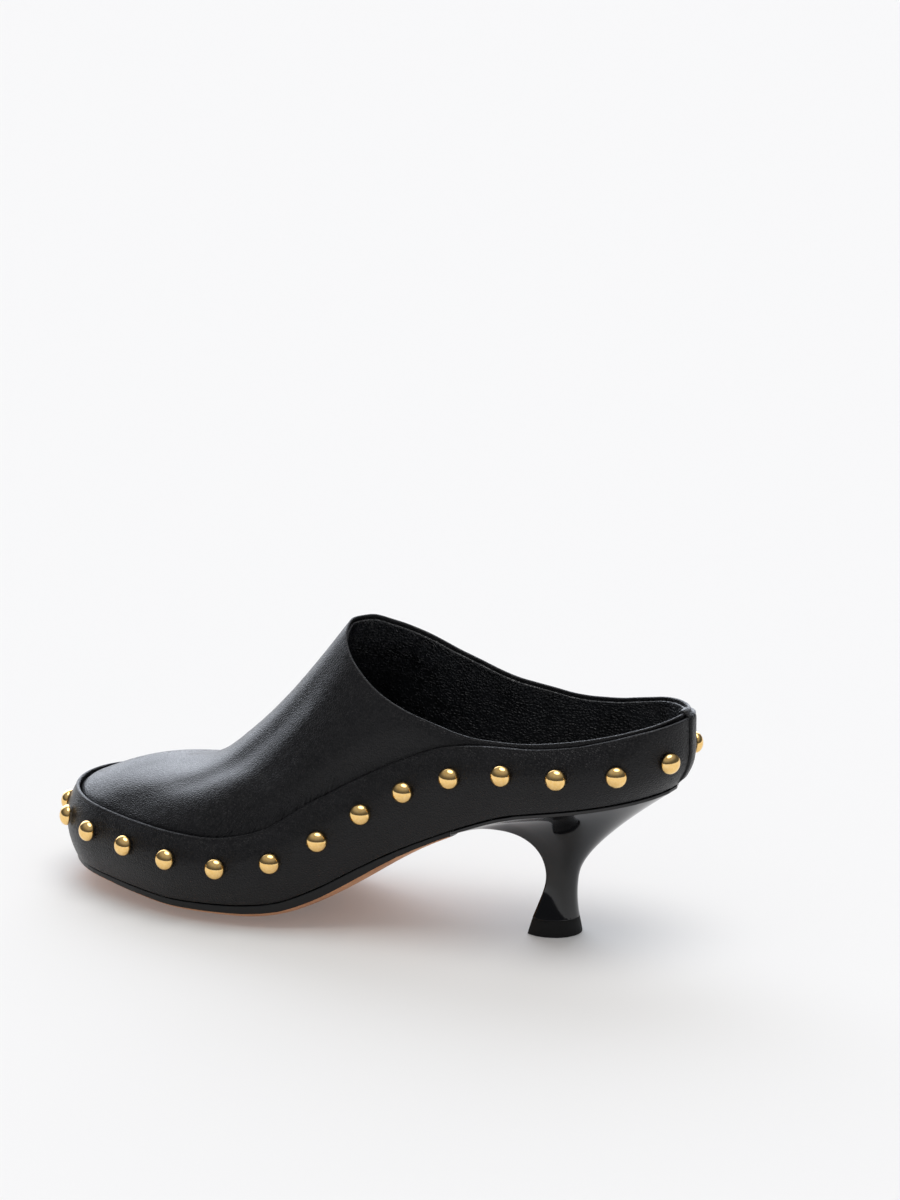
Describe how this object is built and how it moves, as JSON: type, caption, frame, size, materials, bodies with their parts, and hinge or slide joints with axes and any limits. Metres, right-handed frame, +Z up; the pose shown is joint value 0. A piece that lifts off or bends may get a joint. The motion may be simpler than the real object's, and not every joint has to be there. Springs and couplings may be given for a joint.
{
  "type": "heeled mule",
  "caption": "Closed-toe clog-style mule with a smooth one-piece upper on a low wall with domed studs, a thin leather sole and a lacquered spool heel.",
  "frame": {"origin": "on the floor, under the middle of the shoe's box", "axes": "+X to the back of the heel, along the shoe's length; +Y to its inner (medial) side; +Z up"},
  "size_m": [0.259, 0.0976, 0.1128],
  "materials": {
    "upper_leather": "smooth black leather, satin",
    "wall_leather": "smooth black leather, satin",
    "lining_leather": "black lining leather, pebbled",
    "sole_leather": "tan leather sole with a black edge",
    "heel_lacquer": "black lacquer, high gloss",
    "tip_rubber": "matte black rubber",
    "stud_metal": "polished, gold coloured"
  },
  "bodies": {
    "root": {"upper": "upper_leather", "wall": "wall_leather", "back_strip": "wall_leather", "insole": "lining_leather", "outsole": "sole_leather", "heel": "heel_lacquer", "heel_tip": "tip_rubber", "stud_01": "stud_metal", "stud_02": "stud_metal", "stud_03": "stud_metal", "stud_04": "stud_metal", "stud_05": "stud_metal", "stud_06": "stud_metal", "stud_07": "stud_metal", "stud_08": "stud_metal", "stud_09": "stud_metal", "stud_10": "stud_metal", "stud_11": "stud_metal", "stud_12": "stud_metal", "stud_13": "stud_metal", "stud_14": "stud_metal", "stud_15": "stud_metal", "stud_16": "stud_metal", "stud_17": "stud_metal", "stud_18": "stud_metal", "stud_19": "stud_metal", "stud_20": "stud_metal", "stud_21": "stud_metal", "stud_22": "stud_metal", "stud_23": "stud_metal", "stud_24": "stud_metal", "stud_25": "stud_metal", "stud_26": "stud_metal", "stud_27": "stud_metal", "stud_28": "stud_metal", "stud_29": "stud_metal", "stud_30": "stud_metal"}
  },
  "joints": []
}
